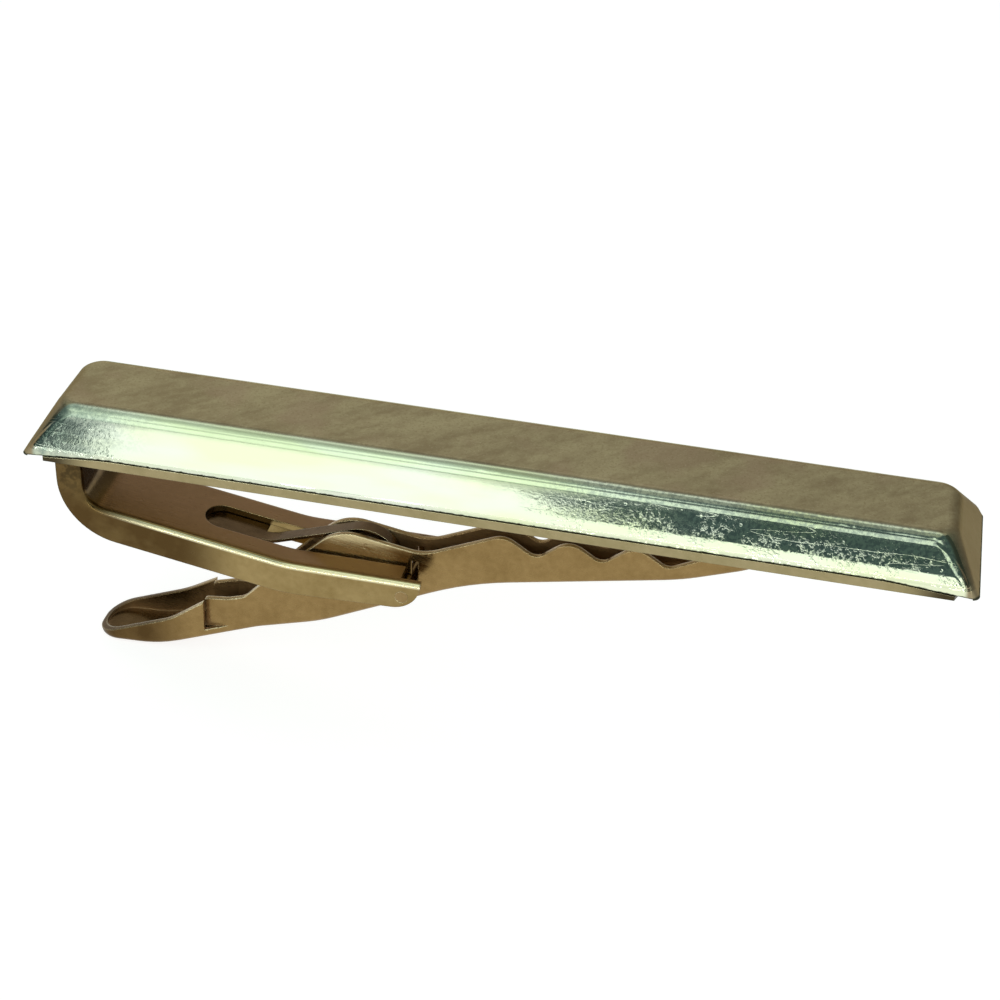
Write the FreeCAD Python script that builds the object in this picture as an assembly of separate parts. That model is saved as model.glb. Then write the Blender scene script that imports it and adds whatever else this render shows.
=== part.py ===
"""Spring-lever tie clip, in millimetres.

The origin is the centre of the back plate's grip face. +X runs along the bar from the bracket's upright
to the free end, +Z points out of the bar's satin face, and the spring lever hangs below the grip face.
"""
import FreeCAD, Part
import math
import os

# Bar: softly bevelled front with a hollowed back, closed by a plate that thins out towards its bowed ends
bar_length = 57.0
bar_width = 9.2
bar_height = 3.15
side_bevel = 1.8
end_bevel = 1.75
bevel_foot = 0.82
foot_rounding = 0.1
face_corner_radius = 1.5
base_corner_radius = 0.5
crease_radius = 1.0
seam_height = 0.1
seam_depth = 0.12
end_lip = 0.2
hollow_wall = 0.5
hollow_radius = 0.6
plate_thickness = 0.6
plate_taper_length = 4.8
plate_taper_radius = 20.0
plate_end_inset = 0.4
plate_end_bow = 1.0
plate_lap = 0.6

# Bracket: flanged strip bent in a J, its lower leg slotted into a fork
bracket_width = 5.7
bracket_sheet = 0.45
bracket_edge_radius = 0.45
upright_from_end = 2.95
upright_bend_radius = 1.4
arm_depth = 6.15
arm_slope = 9.2
arm_level_length = 7.35
arm_bend_radius = 8.0
slot_length = 13.35
slot_clearance = 0.2
web_before_pin = 0.15
flange_past_pin = 1.15
flange_below_pin = 0.4
flange_end_radius = 1.85
flange_corner_radius = 4.2
flange_sag = 0.3

# Pivot pin, through the flanges just under the web
pin_from_end = 23.25
pin_diameter = 0.8
pin_below_web = 0.25
pin_clearance = 0.05

# Lever: folded channel, in the side view from the pivot
lever_width = 1.9
lever_sheet = 0.3
fold_radius = 0.35
nape_reach = 0.83
nape_height = 1.98
nape_radius = 3.0
hump_reach = 4.61
hump_height = 2.91
hump_radius = 2.8
belly_reach = 5.75
belly_drop = 4.5
belly_radius = 12.0
keel_reach = 3.75
keel_height = 0.25
keel_radius = 20.0
pin_slit_width = 0.4
pin_slit_height = 1.45
pin_slit_offset = 0.37

# Thumb scoop: places run back from its tip
thumb_reach = 20.75
thumb_drop = 8.05
thumb_width = 3.6
thumb_end_radius = 1.5
thumb_lip = 0.06
pad_length = 4.0
pad_rise = 0.2
pad_radius = 8.0
scoop_length = 5.3
flare_length = 5.4
flare_radius = 6.0
dip_place = 5.2
dip_rise = 2.5
dip_radius = 6.0
rim_place = 7.5
rim_rise = 4.1
rim_radius = 1.0
neck_place = 10.0
neck_rise = 4.65
neck_radius = 1.0
dent_place = 7.4
dent_length = 1.6
dent_depth = 0.45

# Jaw: places run back from the beak's tip
jaw_reach = 23.15
jaw_seat_clearance = 0.05
jaw_taper_length = 7.4
jaw_taper_radius = 6.0
jaw_tip_width = 0.9
jaw_tip_radius = 0.3
beak_solid_length = 1.85
beak_edge_radius = 0.3
beak_overhang = 0.35
beak_edge_height = 0.8
beak_bend_length = 2.3
beak_bend_height = 4.3
beak_bend_radius = 5.0
chin_length = 6.1
chin_height = 3.05
chin_radius = 10.0
tooth_count = 3
tooth_pitch = 4.0
tooth_height = 1.3
tooth_step = 0.36
tooth_crest_radius = 1.3
tooth_notch_radius = 0.75
last_tooth_length = 9.3
last_tooth_height = 5.02

# Leaf spring: hairpin strip inside the lever, held down by the dents
spring_thickness = 0.2
spring_side_clearance = 0.2
spring_seat_clearance = 0.04
spring_dent_clearance = 0.06
spring_pin_clearance = 0.3
spring_past_dents = 1.0
spring_foot_length = 4.6
spring_foot_radius = 6.0
spring_loop_drop = 0.8
spring_loop_radius = 2.2
spring_leg_slope = 19.0
spring_knee_radius = 2.0
spring_pad_width = 3.4
spring_pad_overlap = 2.2
spring_toe_width = 1.6

# Derived sizes and places
left_end = -bar_length / 2
plate_tip_x = bar_length / 2 - plate_end_inset
plate_corner_x = plate_tip_x - plate_end_bow
plate_taper_x = plate_tip_x - plate_taper_length
pin_radius = pin_diameter / 2
flange_depth = bracket_sheet + pin_below_web + pin_diameter + flange_below_pin
slot_width = lever_width + 2 * slot_clearance
spring_width = lever_width - 2 * lever_sheet - 2 * spring_side_clearance
pivot_x = left_end + pin_from_end
pivot_z = -arm_depth - bracket_sheet - pin_below_web - pin_radius
slot_x = pivot_x - slot_length
level_x = pivot_x - arm_level_length
flare_x = pivot_x - thumb_reach + scoop_length + flare_length
dent_x = pivot_x - thumb_reach + dent_place
beak_x = pivot_x + jaw_reach


def at(x, z, y=0.0):
    return FreeCAD.Vector(x, y, z)


def from_pivot(x, z):
    return at(pivot_x + x, pivot_z + z)


def from_thumb_tip(x, z):
    return from_pivot(x - thumb_reach, z - thumb_drop)


def left_of(direction):
    """The direction turned a quarter turn to the left in the side view."""
    return FreeCAD.Vector(-direction.z, 0, direction.x)


def offset_path(corners, distance):
    """Move a side-view path of (point, radius) corners sideways, to the left if distance is positive."""
    points = [point for point, radius in corners]
    runs = [(b - a).normalize() for a, b in zip(points, points[1:])]
    moved = []
    for i, (point, radius) in enumerate(corners):
        before = left_of(runs[max(i - 1, 0)])
        after = left_of(runs[min(i, len(runs) - 1)])
        shift = (before + after) * (distance / (1 + before.dot(after)))
        turns_left = before.cross(after).y < 0
        new_radius = radius - distance if turns_left else radius + distance
        moved.append((point + shift, max(new_radius, 0) if radius else 0))
    return moved


def rounded_edges(corners):
    """Lines and arcs through a loop of (point, radius) corners. A round is limited by the runs beside it."""
    points = [point for point, radius in corners]
    count = len(points)
    ahead = [points[(i + 1) % count] - points[i] for i in range(count)]
    half_angles = [(ahead[i - 1] * -1).getAngle(ahead[i]) / 2 for i in range(count)]
    reaches = [radius / math.tan(half) for (point, radius), half in zip(corners, half_angles)]
    taken = [reaches[i] + reaches[(i + 1) % count] for i in range(count)]
    room = [min(1, run.Length / used) if used else 1 for run, used in zip(ahead, taken)]
    stretches = []
    for i, point in enumerate(points):
        reach = reaches[i] * min(room[i - 1], room[i])
        onward = FreeCAD.Vector(ahead[i]).normalize()
        back = FreeCAD.Vector(ahead[i - 1]).normalize() * -1
        radius = reach * math.tan(half_angles[i])
        bisector = (onward + back).normalize() if reach else onward
        apex = point + bisector * (radius / math.sin(half_angles[i]) - radius)
        stretches.append((point + back * reach, apex, point + onward * reach))
    edges = []
    for i, (start, apex, end) in enumerate(stretches):
        following = stretches[(i + 1) % count][0]
        if start != end:
            edges.append(Part.Arc(start, apex, end).toShape())
        if end.distanceToPoint(following) > 1e-7:
            edges.append(Part.LineSegment(end, following).toShape())
    return edges


def rounded_face(corners):
    return Part.Face(Part.Wire(rounded_edges(corners)))


def strip_face(path, thickness):
    """Side-view face of a strip lying to the right of a path."""
    return rounded_face(path + offset_path(path, -thickness)[::-1])


def across(face, width):
    """Extrude a side-view face evenly to both sides."""
    face.translate(FreeCAD.Vector(0, -width / 2, 0))
    return face.extrude(FreeCAD.Vector(0, width, 0))


def side_edges_on(shape, path, width):
    """Edges of a piece of this width that run along an open side-view path, on both sides."""
    line = Part.Wire(rounded_edges(path)[:-1])
    found = []
    for edge in shape.Edges:
        middle = edge.valueAt((edge.FirstParameter + edge.LastParameter) / 2)
        on_side = abs(abs(middle.y) - width / 2) < 1e-6
        if on_side and Part.Vertex(at(middle.x, middle.z)).distToShape(line)[0] < 1e-6:
            found.append(edge)
    return found


def rounded_rectangle(length, width, radius, z):
    corners = [(-1, -1), (1, -1), (1, 1), (-1, 1)]
    return rounded_face([(at(sx * length / 2, z, sy * width / 2), radius) for sx, sy in corners]).OuterWire


def frustum(length, width, bottom_z, top_z, length_bevel, width_bevel, low_radius, high_radius):
    low = rounded_rectangle(length, width, low_radius, bottom_z)
    high = rounded_rectangle(length - 2 * length_bevel, width - 2 * width_bevel, high_radius, top_z)
    return Part.makeLoft([low, high], True, True)


def edges_at_height(shape, z):
    return [e for e in shape.Edges if abs(e.BoundBox.ZMin - z) < 1e-6 and abs(e.BoundBox.ZMax - z) < 1e-6]


def plate_profile():
    """Side view of the plate, which thins out towards both ends."""
    return [
        (at(-plate_tip_x, end_lip), 0),
        (at(-plate_taper_x, plate_thickness), plate_taper_radius),
        (at(plate_taper_x, plate_thickness), plate_taper_radius),
        (at(plate_tip_x, end_lip), 0),
        (at(plate_tip_x, 0), 0),
        (at(-plate_tip_x, 0), 0),
    ]


def bar_outline(z):
    """Outline at one height. The ends slope all the way, the sides only above the bevel's foot."""
    end_share = (z - end_lip) / (bar_height - end_lip)
    side_share = max(z - bevel_foot, 0) / (bar_height - bevel_foot)
    length = bar_length - 2 * end_bevel * end_share
    width = bar_width - 2 * side_bevel * side_share
    radius = base_corner_radius + (face_corner_radius - base_corner_radius) * end_share
    return rounded_rectangle(length, width, radius, z)


def front_bar():
    heights = [end_lip, bevel_foot - foot_rounding, bevel_foot + foot_rounding, bar_height]
    body = Part.makeLoft([bar_outline(z) for z in heights], True, True).removeSplitter()
    body = body.makeFillet(crease_radius, edges_at_height(body, bar_height))
    body = body.cut(across(rounded_face(plate_profile()), 2 * bar_width)).cut(seam())
    depth = bar_height - plate_thickness
    hollow_share = (depth - hollow_wall) / depth
    hollow = frustum(
        2 * (plate_taper_x - plate_lap),
        bar_width - 2 * plate_lap,
        plate_thickness,
        bar_height - hollow_wall,
        end_bevel * hollow_share,
        side_bevel * hollow_share,
        hollow_radius,
        hollow_radius,
    )
    return body.cut(hollow)


def seam():
    """Room for a step along the lower edges of the bar's long sides, over the plate."""
    profile = plate_profile()
    raised = [(point + at(0, seam_height), radius) for point, radius in profile[:4]] + profile[4:]
    width = bar_width - 2 * seam_depth
    core = Part.makeBox(bar_length, width, bar_height, at(left_end, 0, -width / 2))
    return across(rounded_face(raised), 2 * bar_width).cut(core)


def back_plate():
    """Sheet as wide as the bar. Its ends are arcs."""
    half = bar_width / 2
    edges = []
    for side in (-1, 1):
        corner = at(side * plate_corner_x, 0, -side * half)
        other = at(side * plate_corner_x, 0, side * half)
        edges.append(Part.Arc(corner, at(side * plate_tip_x, 0), other).toShape())
        edges.append(Part.LineSegment(other, at(-side * plate_corner_x, 0, side * half)).toShape())
    sheet = Part.Face(Part.Wire(Part.sortEdges(edges)[0])).extrude(at(0, plate_thickness))
    return sheet.common(across(rounded_face(plate_profile()), 2 * bar_width))


def bracket_path():
    """Inner side of the J: down the upright, then along the sloping and the level part of the fork."""
    upright_x = left_end + upright_from_end
    bend_z = -arm_depth + (level_x - upright_x) * math.tan(math.radians(arm_slope))
    return [
        (at(upright_x, 0), 0),
        (at(upright_x, bend_z), upright_bend_radius),
        (at(level_x, -arm_depth), arm_bend_radius),
        (at(pivot_x + flange_past_pin, -arm_depth), 0),
    ]


def web_underside(x):
    """Height of the sloping web's lower side."""
    slope = math.radians(arm_slope)
    return -arm_depth + (level_x - x) * math.tan(slope) - bracket_sheet / math.cos(slope)


def pivot_cylinder(radius):
    start = from_pivot(0, 0) - FreeCAD.Vector(0, bracket_width / 2, 0)
    return Part.makeCylinder(radius, bracket_width, start, FreeCAD.Vector(0, 1, 0))


def bracket():
    inner = bracket_path()
    body = across(rounded_face(inner + flange_edge(inner)[::-1]), bracket_width)
    body = body.makeFillet(bracket_edge_radius, side_edges_on(body, inner, bracket_width))
    gap_width = bracket_width - 2 * bracket_sheet
    under_web = strip_face(offset_path(inner, -bracket_sheet), flange_depth)
    past_web = Part.makeBox(bracket_width, gap_width, flange_depth,
                            at(pivot_x - web_before_pin, -arm_depth - flange_depth, -gap_width / 2))
    return body.cut([across(under_web, gap_width), past_web, fork_slot(), pivot_cylinder(pin_radius)])


def flange_edge(inner):
    """Free edge of the flanges, narrower on the upright and deeper along the slope than at the pin."""
    shifts = [at(flange_sag, 0), at(flange_sag, -flange_sag), at(0, -flange_sag), at(0, 0)]
    radii = [0, flange_corner_radius, arm_bend_radius, flange_end_radius]
    offset = [point for point, radius in offset_path(inner, -flange_depth)]
    return [(point + shift, radius) for point, shift, radius in zip(offset, shifts, radii)]


def fork_slot():
    """Slot with a round closed end, open at the fork's tips."""
    radius = slot_width / 2
    low = -arm_depth - flange_depth
    end = at(slot_x + radius, low)
    round_end = Part.makeCylinder(radius, -low, end)
    corner = end - FreeCAD.Vector(0, radius, 0)
    straight = Part.makeBox(slot_length + flange_past_pin, slot_width, -low, corner)
    return round_end.fuse(straight)


def floor_path():
    """Underside of the lever, from the thumb scoop to the beak."""
    return [
        (from_thumb_tip(0, 0), 0),
        (from_thumb_tip(pad_length, pad_rise), pad_radius),
        (from_pivot(-belly_reach, -belly_drop), belly_radius),
        (from_pivot(keel_reach, keel_height), keel_radius),
        (from_pivot(jaw_reach - chin_length, chin_height), chin_radius),
        (from_pivot(jaw_reach - beak_bend_length, beak_bend_height), beak_bend_radius),
        (at(beak_x + beak_overhang, -jaw_seat_clearance - beak_edge_height), 0),
    ]


def teeth_path():
    """Notches and crests, from the beak's notch back to the first tooth."""
    corners = []
    for i in range(tooth_count):
        crest_reach = jaw_reach - last_tooth_length - i * tooth_pitch
        crest = from_pivot(crest_reach, last_tooth_height - i * tooth_step)
        notch = crest + at(tooth_pitch / 2, -tooth_height)
        corners += [(notch, tooth_notch_radius), (crest, tooth_crest_radius)]
    return corners


def wall_path():
    """Upper edge of the lever's walls, from the beak back to the thumb scoop."""
    beak = [(at(beak_x, -jaw_seat_clearance), beak_edge_radius)]
    hump = [
        (from_pivot(nape_reach, nape_height), nape_radius),
        (from_pivot(-hump_reach, hump_height), hump_radius),
    ]
    scoop = [
        (from_thumb_tip(neck_place, neck_rise), neck_radius),
        (from_thumb_tip(rim_place, rim_rise), rim_radius),
        (from_thumb_tip(dip_place, dip_rise), dip_radius),
        (from_thumb_tip(0, lever_sheet + thumb_lip), 0),
    ]
    return beak + teeth_path() + hump + scoop


def plan_face(inset, tip_inset):
    """Top view of the channel: thumb scoop, parallel hinge part and tapering jaw."""
    half = lever_width / 2 - inset
    thumb_half = thumb_width / 2 - inset
    taper = (lever_width - jaw_tip_width) / 2 / (jaw_taper_length + beak_overhang)
    tip_half = jaw_tip_width / 2 - inset + taper * tip_inset
    side = [
        (pivot_x - thumb_reach + inset, thumb_half, thumb_end_radius),
        (flare_x - flare_length, thumb_half, flare_radius),
        (flare_x, half, flare_radius),
        (beak_x - jaw_taper_length, half, jaw_taper_radius),
        (beak_x + beak_overhang - tip_inset, tip_half, jaw_tip_radius),
    ]
    near = [(at(x, 0, -y), radius) for x, y, radius in side]
    far = [(at(x, 0, y), radius) for x, y, radius in reversed(side)]
    return rounded_face(near + far)


def upright_prism(face):
    """Extrude a top-view face from the grip face down past the whole lever."""
    depth = thumb_drop - pivot_z
    face.translate(at(0, -depth))
    return face.extrude(at(0, depth))


def room_above_floor(height):
    """Everything in the lever more than this height above its underside."""
    low = offset_path(floor_path(), height)
    ceiling = [(at(low[-1][0].x, bar_height), 0), (at(low[0][0].x, bar_height), 0)]
    return across(rounded_face(low + ceiling), 2 * thumb_width)


def jaw_lever():
    outline = across(rounded_face(floor_path() + wall_path()), 2 * thumb_width)
    block = room_above_floor(0).common(upright_prism(plan_face(0, 0)))
    body = block.makeFillet(fold_radius, underside_edges(block)).common(outline)
    hollow = upright_prism(plan_face(lever_sheet, beak_solid_length + beak_overhang))
    body = body.cut(hollow.common(room_above_floor(lever_sheet)))
    above_spring = room_above_floor(
        lever_sheet + spring_seat_clearance + spring_thickness + spring_dent_clearance)
    for side in (-1, 1):
        body = body.fuse(dent(side, lever_sheet).common(outline).common(above_spring))
        body = body.cut(dent(side, 0).common(above_spring))
    return body.cut([pivot_cylinder(pin_radius + pin_clearance), pin_slit()]).removeSplitter()


def underside_edges(shape):
    """Edges all round the lever's underside, from the thumb scoop to the beak."""
    line = Part.Wire(rounded_edges(floor_path())[:-1])
    found = []
    for edge in shape.Edges:
        middle = edge.valueAt((edge.FirstParameter + edge.LastParameter) / 2)
        if abs(middle.y) > 1e-6 and Part.Vertex(at(middle.x, middle.z)).distToShape(line)[0] < 1e-6:
            found.append(edge)
    return found


def half_width(x):
    """Half the lever's width in its flare."""
    share = (flare_x - x) / flare_length
    return lever_width / 2 + share * (thumb_width - lever_width) / 2


def dent(side, inset):
    """Wedge that a wall is pushed in by, sheared off square at its thumb end."""
    start = half_width(dent_x) - inset
    end_x = dent_x + dent_length
    corners = [
        (at(dent_x, 0, side * start), 0),
        (at(dent_x, 0, side * (start - dent_depth)), 0),
        (at(end_x, 0, side * (half_width(end_x) - inset)), 0),
    ]
    return upright_prism(rounded_face(corners))


def pin_slit():
    """Slit above the pin's hole, through both walls."""
    corner = from_pivot(pin_slit_offset - pin_slit_width / 2, 0) - FreeCAD.Vector(0, lever_width, 0)
    return Part.makeBox(pin_slit_width, 2 * lever_width, pin_slit_height, corner)


def spring_path():
    """Middle of the strip: along the lever's floor, round the loop beside the pin and up to the web."""
    seat = lever_sheet + spring_seat_clearance + spring_thickness / 2
    floor = [point for point, radius in offset_path(floor_path()[1:3], seat)]
    along = (floor[1] - floor[0]).normalize()
    toe = floor[0] + along * ((dent_x - spring_past_dents - floor[0].x) / along.x)
    foot = toe + along * spring_foot_length
    loop_x = -(pin_radius + spring_pin_clearance + spring_thickness / 2)
    loop_low = from_pivot(loop_x, -spring_loop_drop)
    rising = math.atan2(loop_low.z - foot.z, loop_low.x - foot.x)
    falling = math.radians(spring_leg_slope)
    low_reach = spring_loop_radius * math.tan((math.pi / 2 - rising) / 2)
    high_reach = spring_loop_radius * math.tan((math.pi / 2 + falling) / 2)
    loop_high = loop_low + at(0, low_reach + high_reach)
    under_web = spring_seat_clearance + spring_thickness / 2
    leg_fall = math.tan(falling)
    web_rise = math.tan(math.radians(arm_slope))
    level_z = web_underside(level_x) - under_web
    knee_x = (level_z + level_x * web_rise - loop_high.z + loop_high.x * leg_fall) / (leg_fall + web_rise)
    knee = at(knee_x, web_underside(knee_x) - under_web)
    tip_x = slot_x - spring_pad_overlap
    tip = at(tip_x, web_underside(tip_x) - under_web)
    return [
        (toe, 0),
        (foot, spring_foot_radius),
        (loop_low, spring_loop_radius),
        (loop_high, spring_loop_radius),
        (knee, spring_knee_radius),
        (tip, 0),
    ]


def leaf_spring():
    """The strip, widened into a pad that bears on the web beside the slot and into a toe under the dents."""
    path = spring_path()
    strip = strip_face(offset_path(path, spring_thickness / 2), spring_thickness)
    toe, knee, tip = path[0][0], path[-2][0], path[-1][0]
    half_turn = math.radians(spring_leg_slope + arm_slope) / 2
    pad_end_x = knee.x - spring_knee_radius * math.tan(half_turn)
    pad = across(strip.copy(), spring_pad_width).common(spring_room(tip, pad_end_x))
    foot = across(strip.copy(), spring_toe_width).common(spring_room(toe, dent_x + dent_length))
    return across(strip, spring_width).fuse([pad, foot]).removeSplitter()


def spring_room(end, last_x):
    """Room about one end of the strip, as far as the given place."""
    first_x = end.x - spring_thickness
    corner = at(first_x, end.z - spring_loop_radius, -spring_pad_width)
    return Part.makeBox(last_x - first_x, 2 * spring_pad_width, 2 * spring_loop_radius, corner)


def pivot_pin():
    return pivot_cylinder(pin_radius)


os.makedirs("parts", exist_ok=True)
for piece in (front_bar, back_plate, bracket, jaw_lever, leaf_spring, pivot_pin):
    shape = piece()
    box = shape.BoundBox
    print(piece.__name__, "valid", shape.isValid(), "solids", len(shape.Solids))
    print("volume", round(shape.Volume, 3), "x", round(box.XMin, 2), round(box.XMax, 2),
          "z", round(box.ZMin, 2), round(box.ZMax, 2))
    shape.exportStep("parts/" + piece.__name__ + ".step")
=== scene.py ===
import math

import bpy
from mathutils import Matrix, Vector


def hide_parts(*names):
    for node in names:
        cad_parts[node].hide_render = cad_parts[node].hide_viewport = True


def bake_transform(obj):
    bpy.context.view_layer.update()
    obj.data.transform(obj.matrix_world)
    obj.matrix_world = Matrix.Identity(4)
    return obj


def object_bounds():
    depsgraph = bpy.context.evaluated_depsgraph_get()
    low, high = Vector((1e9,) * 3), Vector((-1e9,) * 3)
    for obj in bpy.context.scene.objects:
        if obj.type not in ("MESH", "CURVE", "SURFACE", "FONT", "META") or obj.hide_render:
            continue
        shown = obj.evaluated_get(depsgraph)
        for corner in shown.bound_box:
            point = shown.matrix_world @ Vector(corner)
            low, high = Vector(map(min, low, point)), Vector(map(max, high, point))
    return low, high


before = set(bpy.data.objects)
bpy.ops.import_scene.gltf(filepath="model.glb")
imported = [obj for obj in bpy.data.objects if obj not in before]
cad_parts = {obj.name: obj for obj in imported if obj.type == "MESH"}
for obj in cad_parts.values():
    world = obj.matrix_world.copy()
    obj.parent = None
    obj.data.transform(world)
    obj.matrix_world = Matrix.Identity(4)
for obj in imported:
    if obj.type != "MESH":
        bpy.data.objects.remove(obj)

MM = 0.001
cad_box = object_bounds()
scene = bpy.context.scene
scene.view_settings.view_transform = "Standard"


# Camera: where the photograph was taken from

YAW = math.radians(10.7)
PITCH = math.radians(33.9)
ROLL = math.radians(2.6)
DISTANCE = 124.3 * MM
SIDE = 0.04 * MM
LIFT = -0.83 * MM
SENSOR_WIDTH = 36
LENS = 74.7
CLIP_START = 0.005
CLIP_END = 20

look = Vector((-math.sin(YAW) * math.cos(PITCH), math.cos(YAW) * math.cos(PITCH), -math.sin(PITCH)))
right = Vector((math.cos(YAW), math.sin(YAW), 0))
up = right.cross(look)
right_rolled = right * math.cos(ROLL) + up * math.sin(ROLL)
up_rolled = up * math.cos(ROLL) - right * math.sin(ROLL)
eye = right_rolled * SIDE + up_rolled * LIFT - look * DISTANCE

camera_data = bpy.data.cameras.new("camera")
camera_data.sensor_width = SENSOR_WIDTH
camera_data.lens = LENS
camera_data.clip_start = CLIP_START
camera_data.clip_end = CLIP_END
camera = bpy.data.objects.new("camera", camera_data)
scene.collection.objects.link(camera)
camera.matrix_world = Matrix((
    (right_rolled.x, up_rolled.x, -look.x, eye.x),
    (right_rolled.y, up_rolled.y, -look.y, eye.y),
    (right_rolled.z, up_rolled.z, -look.z, eye.z),
    (0, 0, 0, 1),
))
scene.camera = camera


# Shader helpers

class Nodes:
    """Adds nodes to one tree and links them."""

    def __init__(self, tree):
        self.tree = tree
        tree.nodes.clear()

    def add(self, kind, inputs=None, **settings):
        node = self.tree.nodes.new(kind)
        for key, value in settings.items():
            setattr(node, key, value)
        for key, value in (inputs or {}).items():
            self.feed(node.inputs[key], value)
        return node

    def feed(self, socket, value):
        """Links another node's output, or sets a plain value."""
        if isinstance(value, bpy.types.NodeSocket):
            self.tree.links.new(value, socket)
        else:
            socket.default_value = value

    def math(self, operation, first, second=0.0):
        return self.add("ShaderNodeMath", {0: first, 1: second}, operation=operation).outputs[0]

    def minus(self, first, second):
        return self.math("SUBTRACT", first, second)

    def larger(self, first, second):
        return self.math("MAXIMUM", first, second)

    def absolute(self, value):
        return self.math("ABSOLUTE", value)

    def sum(self, *values):
        total = values[0]
        for value in values[1:]:
            total = self.math("ADD", total, value)
        return total

    def product(self, *values):
        total = values[0]
        for value in values[1:]:
            total = self.math("MULTIPLY", total, value)
        return total

    def step(self, value, low, high):
        """0 before low, 1 past high, smooth between. Low may be the greater of the two."""
        node = self.add("ShaderNodeMapRange", {"Value": value, "From Min": low, "From Max": high},
                        interpolation_type="SMOOTHSTEP")
        return node.outputs["Result"]

    def span(self, value, low, high, out_low, out_high):
        """out_low before low, out_high past high, straight between."""
        node = self.add("ShaderNodeMapRange", {
            "Value": value, "From Min": low, "From Max": high, "To Min": out_low, "To Max": out_high,
        })
        return node.outputs["Result"]

    def mix(self, factor, first, second):
        """Colour from first to second."""
        node = self.add("ShaderNodeMix", data_type="RGBA")
        for socket, value in (("Factor_Float", factor), ("A_Color", first), ("B_Color", second)):
            self.feed(next(one for one in node.inputs if one.identifier == socket), value)
        return next(one for one in node.outputs if one.identifier == "Result_Color")

    def blend(self, factor, first, second):
        """Number from first to second."""
        return self.sum(self.product(factor, second), self.product(self.minus(1.0, factor), first))

    def noise(self, place, scale, detail=3.0, roughness=0.55):
        node = self.add("ShaderNodeTexNoise", {
            "Vector": place, "Scale": scale, "Detail": detail, "Roughness": roughness,
        })
        return node.outputs["Fac"]

    def stretched(self, place, turn, lengths):
        """Place turned, then measured in the three lengths."""
        node = self.add("ShaderNodeMapping", {"Vector": place, "Rotation": turn, "Scale": lengths},
                        vector_type="TEXTURE")
        return node.outputs["Vector"]

    def axes(self, vector):
        """The three numbers of a vector."""
        parts = self.add("ShaderNodeSeparateXYZ", {"Vector": vector}).outputs
        return parts["X"], parts["Y"], parts["Z"]

    def place(self):
        """Place on the part in millimetres."""
        raw = self.add("ShaderNodeTexCoord").outputs["Object"]
        scaled = self.add("ShaderNodeVectorMath", {0: raw, "Scale": 1 / MM}, operation="SCALE")
        return scaled.outputs["Vector"]

    def facing(self):
        """How far the surface faces along +Z, from -1 to 1."""
        normal = self.add("ShaderNodeTexCoord").outputs["Normal"]
        return self.axes(normal)[2]

    def hairlines(self, place, width):
        """Thin lines: 1 on a line, 0 beside it."""
        off = self.absolute(self.minus(self.noise(place, 1.0, 1), 0.5))
        return self.step(off, width, 0.0)

    def flecks(self, place, scale, low, high):
        """Small ragged marks: 1 on a mark, 0 beside it."""
        return self.step(self.noise(place, scale, 3, 0.6), low, high)

    def pits(self, place, scale, size):
        """Scattered round pits: 1 in a pit, 0 beside it."""
        cells = self.add("ShaderNodeTexVoronoi", {"Vector": place, "Scale": scale, "Randomness": 1.0})
        return self.step(cells.outputs["Distance"], size, size * 0.4)

    def rounded(self, first, second, radius):
        """How far inside a rounded corner a place is, from how far it is inside each edge."""
        legs = [self.larger(self.minus(radius, one), 0.0) for one in (first, second)]
        across = self.math("SQRT", self.sum(*(self.product(leg, leg) for leg in legs)))
        return self.minus(radius, across)


def rgb(red, green, blue):
    return (red, green, blue, 1.0)


def new_material(name):
    material = bpy.data.materials.new(name)
    material.use_nodes = True
    return material, Nodes(material.node_tree)


NORMAL_SAMPLES = 6
SHELTER_SAMPLES = 8
# How open the inside of the sheet is at an outer edge, and how far that edge faces upwards, where worn edges with
# their painted highlight show
WEAR_HIGHLIGHT_COVER = (0.95, 0.65)
WEAR_HIGHLIGHT_UPWARD = (0.05, 0.35)


def soft_normal(nodes, radius):
    """The surface's direction, with its edges rounded."""
    return nodes.add("ShaderNodeBevel", {"Radius": radius * MM}, samples=NORMAL_SAMPLES).outputs["Normal"]


def openness(nodes, reach, inside=False):
    """1 in the open, towards 0 in recesses, or the same seen from inside the metal."""
    node = nodes.add("ShaderNodeAmbientOcclusion", {"Distance": reach * MM}, samples=SHELTER_SAMPLES,
                     only_local=True, inside=inside)
    return node.outputs["AO"]


def worn_highlit_edges(nodes, normal, width):
    """1 on outer edges that face upwards."""
    edge = nodes.step(openness(nodes, width, inside=True), *WEAR_HIGHLIGHT_COVER)
    return nodes.product(edge, nodes.step(nodes.axes(normal)[2], *WEAR_HIGHLIGHT_UPWARD))


def finish_metal(nodes, base, roughness, height, normal, metallic=1.0, grazing=rgb(1, 1, 1)):
    """A metal whose bump height is in millimetres, with the tint that it has at grazing angles."""
    bumped = nodes.add("ShaderNodeBump", {
        "Height": height, "Strength": 1.0, "Distance": MM, "Normal": normal,
    })
    shader = nodes.add("ShaderNodeBsdfPrincipled", {
        "Base Color": base, "Roughness": roughness, "Normal": bumped.outputs["Normal"], "Metallic": metallic,
        "Specular Tint": grazing,
    })
    nodes.add("ShaderNodeOutputMaterial", {"Surface": shader.outputs["BSDF"]})


# Bar: satin face and ends, polished and scuffed side bevels, with painted shade in the seam and on the ends, and
# painted reflections on the bevels.
# Lengths are in millimetres. A pair is where something begins and where it is complete.

# The flat face's half length and half width, and how far the mitre runs along and across from its corner
FACE_X = 26.75
FACE_Y = 2.8
CORNER_RUN = (1.75, 2.28)
END_BORDER = (FACE_X - 0.6, FACE_X + 0.4)
# Polished bevel: its upper border, the radius of its corner, and how far inside it the polish and the pale
# painted reflection come
SATIN_EDGE = 2.25
POLISH_CORNER = 0.9
POLISH_BORDER = (0.0, 0.15)
PALE_BORDER = (0.22, 0.48)
# Lip inside the bevel's border
CREASE_FOOT = 3.0
LIP_CORNER = 1.3
LIP = (0.02, 0.28)
LIP_HEIGHT = 0.042
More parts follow.
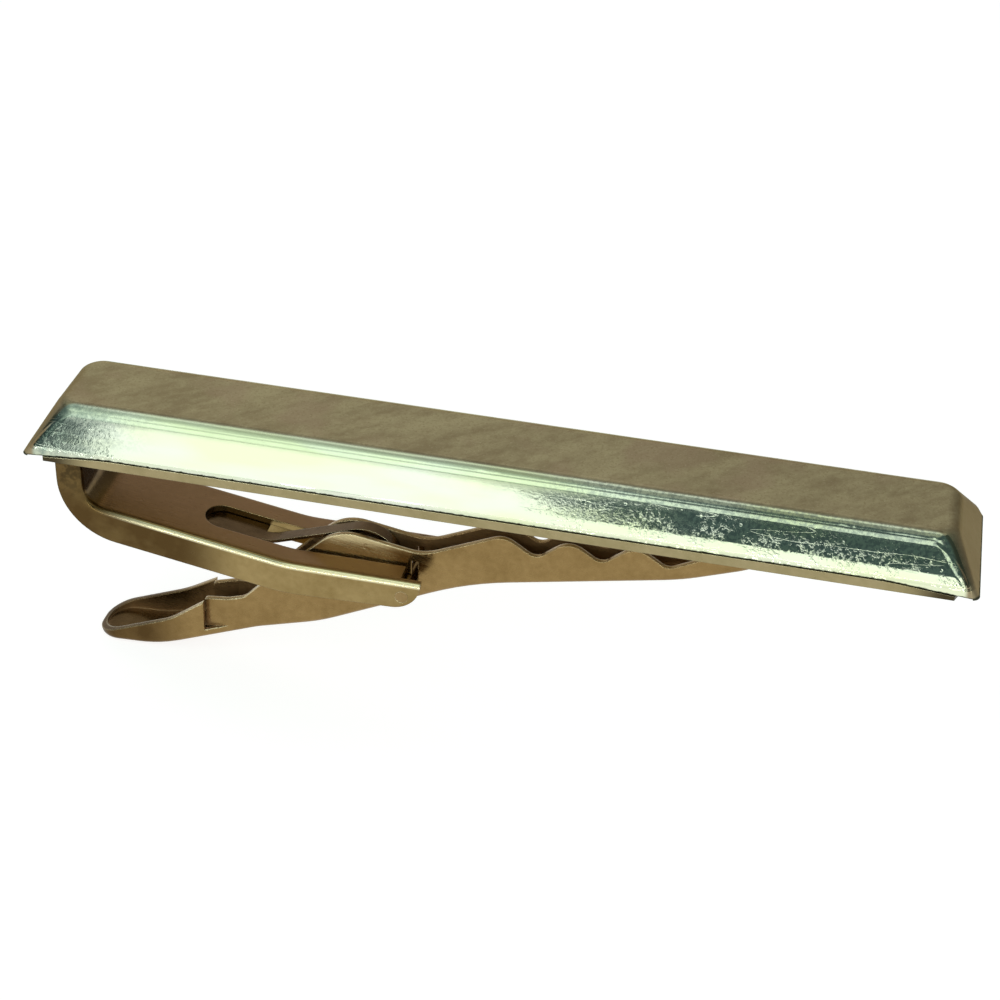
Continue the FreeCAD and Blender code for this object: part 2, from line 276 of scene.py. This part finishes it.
# Roll at the bevel's foot: heights between which it ends, and where along the bar it begins
FOOT_ROLL = (0.85, 1.4)
FOOT_ROLL_DEPTH = 0.06
FOOT_SHINE = (-14.0, -2.0)
# Along the bevel: the middle of its clean part, how far from that the scuffs come, and where its left end dulls
CLEAN_MIDDLE = -9.0
CLEAN_REACH = (10.5, 17.0)
DULL_END = (-21.5, -27.0)
# Seam: the plate's top in the middle and at its tips, and how far over it the painted shade reaches
PLATE_TOP = 0.6
PLATE_TIP_TOP = 0.2
PLATE_TAPER = (23.3, 28.1)
SEAM_SHADE_SCALE = 2.6
SEAM_SHADE_REACH = (0.08, 0.17)
SEAM_SHADE_BORDER = (-0.04, 0.05)

# Streaks: how they are turned, and the lengths of their patches
STREAK_TURN = (0, 0, 0.7)
CLOUD = (6.2, 2.0, 3.3)
FINE_CLOUD = (1.1, 0.6, 0.7)
BRUSH_LINES = (0.8, 0.13, 0.3)
BRUSH_HEIGHT = 0.0015
TINT_PATCH = (10.0, 2.0, 2.0)
ROSY_SCALE = 0.22
ROSY_RANGE = (0.5, 0.68)

# Marks on the bevel: scale and limits, or scale and size, and heights. The first two are patches of painted dark
# reflection and the heights above which they come
REFLECTION_MOTTLE = (4.5, 0.42, 0.6)
REFLECTION_MOTTLE_FROM = (1.2, 1.5)
DULL_SCALE = 1.4
USED_SCALE = 0.5
USED_RANGE = (0.4, 0.58)
GRAIN_SCALE = 5.0
GRAIN_HEIGHT = (0.0006, 0.0016)
SCUFFS = (4.2, 0.5, 0.66)
SCUFF_FADE = (1.4, 2.2)
SCUFF_HEIGHT = (0.0055, 0.001)
PITS = (1.3, 0.13)
PIT_DEPTH = 0.006
SCRATCH_TURN = (0.1, 0.05, 0.1)
SCRATCH = (33, 0.9, 0.9)
SCRATCH_WIDTH = 0.006
SCRATCH_DEPTH = 0.003
MARKS_TOP = (2.75, 2.5)

# Roughness
HAZE_SCALE = 0.9
HAZE = (0.02, 0.055)
CREASE_HAZE_FROM = (2.2, 2.7)
CREASE_HAZE_ALONG = (-10, 12)
CREASE_HAZE = (0.2, 0.07)
DULL_HAZE = 0.1
SATIN_ROUGHNESS = (0.33, 0.43)
SEAM_SHADE_ROUGHNESS = 0.6
BAR_EDGE = 0.08

SATIN_DARK = rgb(0.325, 0.272, 0.165)
SATIN_LIGHT = rgb(0.485, 0.43, 0.265)
SATIN_ROSY = rgb(0.43, 0.335, 0.23)
# Painted shade on the ends
SATIN_END_SHADE = rgb(0.27, 0.215, 0.13)
# Flecks in the satin: scale and limits, how strong, and colour
SATIN_FLECKS = (
    ((6.0, 0.52, 0.66), 0.55, rgb(0.31, 0.245, 0.145)),
    ((8.0, 0.58, 0.68), 0.35, rgb(0.62, 0.56, 0.38)),
)
# Pale mint bevel colours: a painted bright reflection on the same plating as the satin face
BEVEL_REFLECTION_COOL = rgb(0.80, 0.83, 0.70)
BEVEL_REFLECTION_WARM = rgb(0.80, 0.85, 0.58)
BEVEL_DARK_REFLECTION = rgb(0.36, 0.40, 0.36)
BEVEL_DULL = rgb(0.22, 0.29, 0.245)
SEAM_SHADE = rgb(0.075, 0.078, 0.055)
BAR_GRAZING = rgb(0.5, 0.45, 0.36)


def satin_colour(nodes, place, tone, end):
    satin = nodes.mix(nodes.span(tone, 0.4, 0.6, 0, 1), SATIN_DARK, SATIN_LIGHT)
    rosy = nodes.step(nodes.noise(place, ROSY_SCALE, 2), *ROSY_RANGE)
    satin = nodes.mix(nodes.product(rosy, 0.5), satin, SATIN_ROSY)
    for flecks, strength, colour in SATIN_FLECKS:
        satin = nodes.mix(nodes.product(nodes.flecks(place, *flecks), strength), satin, colour)
    return nodes.mix(nodes.product(end, 0.75), satin, SATIN_END_SHADE)


def bevel_colour(nodes, place, z, busy, dull):
    patch = nodes.noise(nodes.stretched(place, (0, 0, 0), TINT_PATCH), 1.0, 2)
    bright = nodes.mix(nodes.span(patch, 0.4, 0.62, 0, 1), BEVEL_REFLECTION_COOL, BEVEL_REFLECTION_WARM)
    # Patches of painted dark reflection on the upper bevel
    dark_reflection = nodes.product(nodes.flecks(place, *REFLECTION_MOTTLE), busy, nodes.step(z, *REFLECTION_MOTTLE_FROM))
    bright = nodes.mix(nodes.product(dark_reflection, 0.65), bright, BEVEL_DARK_REFLECTION)
    return nodes.mix(dull, bright, BEVEL_DULL)


def bevel_marks(nodes, place, z, busy):
    """Height of the grain, scuffs, pits and scratches, which end below the crease."""
    used = nodes.product(busy, nodes.step(nodes.noise(place, USED_SCALE, 3), *USED_RANGE))
    scratches = nodes.hairlines(nodes.stretched(place, SCRATCH_TURN, SCRATCH), SCRATCH_WIDTH)
    marks = nodes.sum(
        nodes.product(nodes.noise(place, GRAIN_SCALE, 3, 0.6), nodes.span(busy, 0, 1, *GRAIN_HEIGHT)),
        nodes.product(nodes.flecks(place, *SCUFFS), used, nodes.span(z, *SCUFF_FADE, *SCUFF_HEIGHT)),
        nodes.product(nodes.pits(place, *PITS), busy, -PIT_DEPTH),
        nodes.product(scratches, used, -SCRATCH_DEPTH),
    )
    return nodes.product(marks, nodes.step(z, *MARKS_TOP))


def bar_material():
    material, nodes = new_material("bar_gold_look")
    place = nodes.place()
    x, y, z = nodes.axes(place)
    along = nodes.absolute(x)
    aside = nodes.absolute(y)
    run = math.hypot(*CORNER_RUN)
    past_corner = nodes.minus(
        nodes.product(nodes.minus(aside, FACE_Y), CORNER_RUN[0] / run),
        nodes.product(nodes.minus(along, FACE_X), CORNER_RUN[1] / run),
    )
    inside = nodes.rounded(nodes.minus(aside, SATIN_EDGE), past_corner, POLISH_CORNER)
    polish = nodes.step(inside, *POLISH_BORDER)
    end = nodes.step(along, *END_BORDER)
    busy = nodes.step(nodes.absolute(nodes.minus(x, CLEAN_MIDDLE)), *CLEAN_REACH)
    patchy = nodes.span(nodes.noise(place, DULL_SCALE, 4, 0.65), 0.3, 0.62, 1.0, 0.35)
    dull = nodes.product(nodes.step(x, *DULL_END), patchy)

    cloud = nodes.noise(nodes.stretched(place, STREAK_TURN, CLOUD), 1.0, 4)
    fine_cloud = nodes.noise(nodes.stretched(place, STREAK_TURN, FINE_CLOUD), 1.0, 5, 0.65)
    satin = satin_colour(nodes, place, nodes.blend(0.55, cloud, fine_cloud), end)
    bright = bevel_colour(nodes, place, z, busy, dull)
    base = nodes.mix(nodes.step(inside, *PALE_BORDER), satin, bright)

    # Painted shade: a ragged dark line along the seam over the plate, which is also rougher there
    seam = nodes.span(along, *PLATE_TAPER, PLATE_TOP, PLATE_TIP_TOP)
    shade_reach = nodes.span(nodes.noise(place, SEAM_SHADE_SCALE, 3), 0.3, 0.7, *SEAM_SHADE_REACH)
    outside_seam_shade = nodes.step(nodes.minus(nodes.minus(z, seam), shade_reach), *SEAM_SHADE_BORDER)
    base = nodes.mix(outside_seam_shade, SEAM_SHADE, base)

    foot = nodes.span(z, *FOOT_ROLL, 1.0, 0.0)
    foot = nodes.product(foot, foot, nodes.step(x, *FOOT_SHINE))
    lip = nodes.step(nodes.rounded(nodes.minus(aside, CREASE_FOOT), past_corner, LIP_CORNER), *LIP)
    rolls = nodes.sum(nodes.product(foot, -FOOT_ROLL_DEPTH), nodes.product(lip, LIP_HEIGHT))
    lines = nodes.noise(nodes.stretched(place, STREAK_TURN, BRUSH_LINES), 1.0, 3)
    bevel_height = nodes.sum(bevel_marks(nodes, place, z, busy), rolls)
    height = nodes.blend(polish, nodes.product(lines, BRUSH_HEIGHT), bevel_height)

    haze = nodes.sum(
        nodes.span(nodes.noise(place, HAZE_SCALE, 4), 0.35, 0.7, *HAZE),
        nodes.product(nodes.step(z, *CREASE_HAZE_FROM), nodes.span(x, *CREASE_HAZE_ALONG, *CREASE_HAZE)),
        nodes.product(dull, DULL_HAZE),
    )
    satin_rough = nodes.span(fine_cloud, 0.35, 0.65, *SATIN_ROUGHNESS)
    roughness = nodes.blend(outside_seam_shade, SEAM_SHADE_ROUGHNESS, nodes.blend(polish, satin_rough, haze))
    finish_metal(nodes, base, roughness, height, soft_normal(nodes, BAR_EDGE), grazing=BAR_GRAZING)
    return material


# Brass of the other pieces

# How far a surface faces upwards where it counts as an upper side, an under side, a wall or a rounded upper edge
UPPER_SIDE = (0.86, 0.97)
UNDER_SIDE = (-0.35, -0.75)
WALL = (0.4, 0.2)
ROUNDING_FROM = (0.12, 0.35)
ROUNDING_TO = (0.93, 0.85)
SHELTERED = (0.8, 0.4)
RUBBED_OVER = (-8.4, -7.2)
# Edges are worn bright, partly as a painted highlight, more on the near side and towards the left: places, and how
# strong it is there
WEAR_HIGHLIGHT_ACROSS = (-0.6, 0.6, 1.0, 0.3)
WEAR_HIGHLIGHT_ALONG = (-6.0, 0.0, 1.0, 0.3)

BLOTCH_SCALE = 0.5
SPECK_SCALE = 2.2
SOLDER_FLECKS = (1.9, 0.4, 0.6)
DRAWN_TURN = (0, 0.2, 0)
DRAWN = (2.0, 0.14, 0.14)
DRAWN_HEIGHT = 0.003
GRIT_SCALE = 3.4
GRIT_HEIGHT = 0.004
NICK_SCALE = 1.7
NICK_RANGE = (0.62, 0.74)
NICK_DEPTH = 0.006
SHADE_METALLIC = 0.4
SHADE_ROUGHNESS = 0.12
BUFFED_ROUGHNESS = 0.1

PAINTED_SHADE = rgb(0.30, 0.155, 0.052)
LEVER_PAINTED_SHADE = rgb(0.37, 0.215, 0.095)
DIM_SHADE = rgb(0.075, 0.042, 0.013)
TIP_SHADE = rgb(0.06, 0.046, 0.024)
SOLDER_STAIN = rgb(0.05, 0.034, 0.014)
RUBBED = rgb(0.66, 0.55, 0.31)
WORN_HIGHLIGHT = rgb(0.72, 0.64, 0.42)
BUFFED_HIGHLIGHT = rgb(0.78, 0.70, 0.46)


def brass_material(name, light, dark, rough_range, edge, upper=None, lower=0.0, recess=0.6, reach=1.6,
                   shade_colour=PAINTED_SHADE, dim=None, tips=None, buffed=None, rubbed=None, solder=None):
    """Drawn brass: painted shade where it is sheltered, on the sides named and towards the places named, and worn
    bright on its upper edges, partly as a painted highlight.

    edge is the radius of its edges, reach how deep a recess is felt, and recess and lower are how strong the painted
    shade is in recesses and on its under side. Each of these gives two places along X between which something
    grows: upper the painted shade on its upper side, dim the painted shade that dulls the whole, buffed the polish
    and painted highlight of its upper rounded edges. tips gives two distances from the middle between which it
    darkens with painted shade, rubbed the four places along X between which its walls are rubbed bright, and solder
    the two heights between which it is stained by the soldering.
    """
    material, nodes = new_material(name)
    place = nodes.place()
    x, y, z = nodes.axes(place)
    facing = nodes.facing()
    blotch = nodes.noise(place, BLOTCH_SCALE, 4)
    speck = nodes.noise(place, SPECK_SCALE, 3)
    tone = nodes.blend(0.4, blotch, speck)
    base = nodes.mix(nodes.span(tone, 0.36, 0.64, 0, 1), dark, light)

    # Painted shade: darker in recesses, on the under side and on the upper side named, and less metallic and rougher
    # there
    shelter = nodes.product(nodes.step(openness(nodes, reach), *SHELTERED), recess)
    shade_mask = nodes.larger(shelter, nodes.product(nodes.step(facing, *UNDER_SIDE), lower))
    if upper:
        upper_side = nodes.product(nodes.step(facing, *UPPER_SIDE), nodes.span(x, *upper, 0.75, 1.0))
        shade_mask = nodes.larger(shade_mask, upper_side)
    shade_mask = nodes.product(shade_mask, nodes.span(speck, 0.3, 0.6, 0.8, 1.0))
    if dim:
        # Painted shade dimming the whole towards one end
        dull = nodes.product(nodes.step(x, *dim), nodes.span(blotch, 0.35, 0.6, 0.7, 0.95))
        base = nodes.mix(dull, base, DIM_SHADE)
    if tips:
        # Painted shade towards the tips
        base = nodes.mix(nodes.step(nodes.absolute(x), *tips), base, TIP_SHADE)
    if rubbed:
        wall = nodes.step(nodes.absolute(facing), *WALL)
        rub = nodes.product(wall, nodes.step(x, *rubbed[:2]), nodes.step(x, *rubbed[2:]),
                            nodes.step(z, *RUBBED_OVER))
        base = nodes.mix(nodes.product(rub, 0.8), base, RUBBED)
    base = nodes.mix(shade_mask, base, shade_colour)
    metallic = nodes.span(shade_mask, 0, 1, 1.0, SHADE_METALLIC)
    if solder:
        stain = nodes.product(nodes.step(z, *solder), nodes.flecks(place, *SOLDER_FLECKS))
        base = nodes.mix(nodes.product(stain, 0.8), base, SOLDER_STAIN)

    normal = soft_normal(nodes, edge)
    # Edges worn bright, kept to upward and near edges, partly as a painted highlight
    wear_highlight = nodes.product(
        worn_highlit_edges(nodes, normal, edge),
        nodes.span(tone, 0.35, 0.6, 0.4, 1.0),
        nodes.span(y, *WEAR_HIGHLIGHT_ACROSS),
        nodes.span(x, *WEAR_HIGHLIGHT_ALONG),
        nodes.minus(1.0, shade_mask),
    )
    if dim:
        wear_highlight = nodes.product(wear_highlight, nodes.span(dull, 0, 1, 1.0, 0.2))
    base = nodes.mix(wear_highlight, base, WORN_HIGHLIGHT)

    drawn = nodes.noise(nodes.stretched(place, DRAWN_TURN, DRAWN), 1.0, 3)
    grit = nodes.noise(place, GRIT_SCALE, 2)
    nicks = nodes.step(nodes.noise(place, NICK_SCALE, 2), *NICK_RANGE)
    height = nodes.sum(nodes.product(grit, GRIT_HEIGHT), nodes.product(drawn, DRAWN_HEIGHT),
                       nodes.product(nicks, -NICK_DEPTH))
    roughness = nodes.sum(nodes.span(drawn, 0.3, 0.7, *rough_range), nodes.product(shade_mask, SHADE_ROUGHNESS))
    if buffed:
        # Polished rounded upper edges, with a painted highlight in their lighter colour
        rounding = nodes.product(nodes.step(facing, *ROUNDING_FROM), nodes.step(facing, *ROUNDING_TO),
                                 nodes.step(x, *buffed))
        base = nodes.mix(nodes.product(rounding, 0.85), base, BUFFED_HIGHLIGHT)
        roughness = nodes.blend(rounding, roughness, BUFFED_ROUGHNESS)
        height = nodes.product(height, nodes.span(rounding, 0, 1, 1.0, 0.15))
    finish_metal(nodes, base, roughness, height, normal, metallic)
    return material


looks = {
    "front_bar": bar_material(),
    "back_plate": brass_material(
        "plate_gold_look", light=rgb(0.37, 0.305, 0.165), dark=rgb(0.30, 0.25, 0.125),
        rough_range=(0.24, 0.38), edge=0.08, tips=(24.0, 26.6)),
    "bracket": brass_material(
        "bracket_gold_look", light=rgb(0.335, 0.245, 0.105), dark=rgb(0.26, 0.182, 0.07),
        rough_range=(0.16, 0.28), edge=0.1, upper=(-22.0, -16.0), reach=3.0,
        dim=(-15.0, -19.5), buffed=(-25.0, -20.0), solder=(-4.5, -1.5)),
    "jaw_lever": brass_material(
        "lever_gold_look", light=rgb(0.31, 0.205, 0.082), dark=rgb(0.235, 0.15, 0.055),
        rough_range=(0.18, 0.32), edge=0.14, lower=0.7, recess=0.9, reach=3.0, shade_colour=LEVER_PAINTED_SHADE,
        dim=(-19.0, -22.5), rubbed=(-12.0, -10.0, -5.5, -7.0)),
    "pivot_pin": brass_material(
        "pin_gold_look", light=rgb(0.34, 0.24, 0.11), dark=rgb(0.27, 0.18, 0.075),
        rough_range=(0.2, 0.32), edge=0.06),
    # The spring's dark brown colours are painted shade: it lies in shade inside the clip
    "leaf_spring": brass_material(
        "spring_steel_look", light=rgb(0.14, 0.088, 0.042), dark=rgb(0.09, 0.055, 0.025),
        rough_range=(0.16, 0.3), edge=0.04),
}
for node, material in looks.items():
    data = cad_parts[node].data
    data.materials.clear()
    data.materials.append(material)


# Leaf spring: a copy of the part's mesh, set in place, shown instead of the part

spring = bpy.data.objects.new("hairpin_spring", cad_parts["leaf_spring"].data.copy())
scene.collection.objects.link(spring)
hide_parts("leaf_spring")
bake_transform(spring)


# Floor: white to the eye and in reflections, and it keeps the shadow

FLOOR = cad_box[0][2] - 0.02 * MM
FLOOR_HALF = 2
FLOOR_GLOW = 0.82
FLOOR_GREY = rgb(0.45, 0.45, 0.45)

floor_mesh = bpy.data.meshes.new("floor")
floor_mesh.from_pydata([
    (-FLOOR_HALF, -FLOOR_HALF, FLOOR), (FLOOR_HALF, -FLOOR_HALF, FLOOR),
    (FLOOR_HALF, FLOOR_HALF, FLOOR), (-FLOOR_HALF, FLOOR_HALF, FLOOR),
], [], [(0, 1, 2, 3)])
floor = bpy.data.objects.new("floor", floor_mesh)
scene.collection.objects.link(floor)

floor_look, nodes = new_material("floor_look")
path = nodes.add("ShaderNodeLightPath").outputs
seen = nodes.larger(path["Is Camera Ray"], nodes.larger(path["Is Glossy Ray"], path["Is Transmission Ray"]))
glow = nodes.add("ShaderNodeEmission", {"Color": rgb(1, 1, 1), "Strength": nodes.product(seen, FLOOR_GLOW)})
matt = nodes.add("ShaderNodeBsdfDiffuse", {"Color": FLOOR_GREY})
both = nodes.add("ShaderNodeAddShader", {0: glow.outputs[0], 1: matt.outputs[0]})
nodes.add("ShaderNodeOutputMaterial", {"Surface": both.outputs[0]})
floor_mesh.materials.append(floor_look)


# Room: a pale far wall that dims to the right, a dark front with a pale patch over the key lamp, a bright horizon in
# front, and a white backdrop. A pair is the part of a direction where one passes into the next.

FAR_LEFT = rgb(0.78, 0.77, 0.72)
FAR_RIGHT = rgb(0.27, 0.26, 0.24)
FAR_ACROSS = (-0.4, 0.6)
FRONT = rgb(0.07, 0.11, 0.112)
FRONT_FROM = (0.72, 0.5)
OVER_KEY = rgb(0.55, 0.68, 0.60)
OVER_KEY_LEFT = (-0.04, -0.2)
OVER_KEY_UP = (0.64, 0.7)
ABOVE = rgb(0.30, 0.34, 0.29)
ABOVE_FROM = (0.92, 0.97)
BEHIND = rgb(0.33, 0.34, 0.31)
BEHIND_FROM = (0.15, 0.4)
HORIZON = rgb(0.95, 1.0, 0.95)
HORIZON_UNDER = (0.4, 0.28)
HORIZON_NEAR = (0.1, -0.4)
BACKDROP = rgb(0.97, 0.97, 0.97)

world = bpy.data.worlds.new("world")
scene.world = world
world.use_nodes = True
nodes = Nodes(world.node_tree)
toward_x, toward_y, toward_z = nodes.axes(nodes.add("ShaderNodeTexCoord").outputs["Generated"])
far_light = nodes.mix(nodes.span(toward_x, *FAR_ACROSS, 0, 1), FAR_LEFT, FAR_RIGHT)
over_key = nodes.product(nodes.step(toward_x, *OVER_KEY_LEFT), nodes.step(toward_z, *OVER_KEY_UP))
front_light = nodes.mix(over_key, FRONT, OVER_KEY)
front_light = nodes.mix(nodes.step(toward_z, *ABOVE_FROM), front_light, ABOVE)
front_light = nodes.mix(nodes.step(toward_y, *BEHIND_FROM), front_light, BEHIND)
room = nodes.mix(nodes.step(toward_y, *FRONT_FROM), far_light, front_light)
horizon = nodes.mix(nodes.step(toward_y, *HORIZON_NEAR), far_light, HORIZON)
room = nodes.mix(nodes.step(toward_z, *HORIZON_UNDER), room, horizon)
to_camera = nodes.add("ShaderNodeLightPath").outputs["Is Camera Ray"]
sky = nodes.add("ShaderNodeBackground", {"Color": nodes.mix(to_camera, room, BACKDROP), "Strength": 1.0})
nodes.add("ShaderNodeOutputWorld", {"Surface": sky.outputs[0]})


# Lamps

MINT = (0.94, 1.0, 0.94)
GREENER_MINT = (0.88, 1.0, 0.9)
PALE_GREEN = (0.92, 1.0, 0.9)


def softbox(name, toward, distance, width, height, radiance, colour, turn=0.0):
    """Lamp facing the part from a direction, turned about that direction. Its brightness is per area."""
    data = bpy.data.lights.new(name, "AREA")
    data.shape = "RECTANGLE"
    data.size = width
    data.size_y = height
    data.energy = radiance * math.pi * width * height
    data.color = colour
    lamp = bpy.data.objects.new(name, data)
    scene.collection.objects.link(lamp)
    place = Vector(toward).normalized() * distance
    aim = (-place).to_track_quat("-Z", "Y").to_matrix().to_4x4()
    lamp.matrix_world = Matrix.Translation(place) @ aim @ Matrix.Rotation(turn, 4, "Z")


softbox("key", toward=(-0.0535, -0.345, 0.2145), distance=0.411, width=0.258, height=0.13, radiance=1.2,
        colour=MINT, turn=math.radians(-9.2))
softbox("strip", toward=(-0.1, -0.55, 0.83), distance=0.4, width=0.5, height=0.08, radiance=0.85,
        colour=GREENER_MINT)
softbox("low_strip", toward=(-0.1, -0.96, 0.26), distance=0.4, width=0.6, height=0.02, radiance=7.0, colour=MINT)
softbox("side_card", toward=(0.567, -0.572, 0.577), distance=0.4, width=0.12, height=0.14, radiance=1.2,
        colour=MINT)
softbox("overhead", toward=(0, 0.2, 0.98), distance=0.8, width=0.9, height=0.2, radiance=0.45, colour=PALE_GREEN)
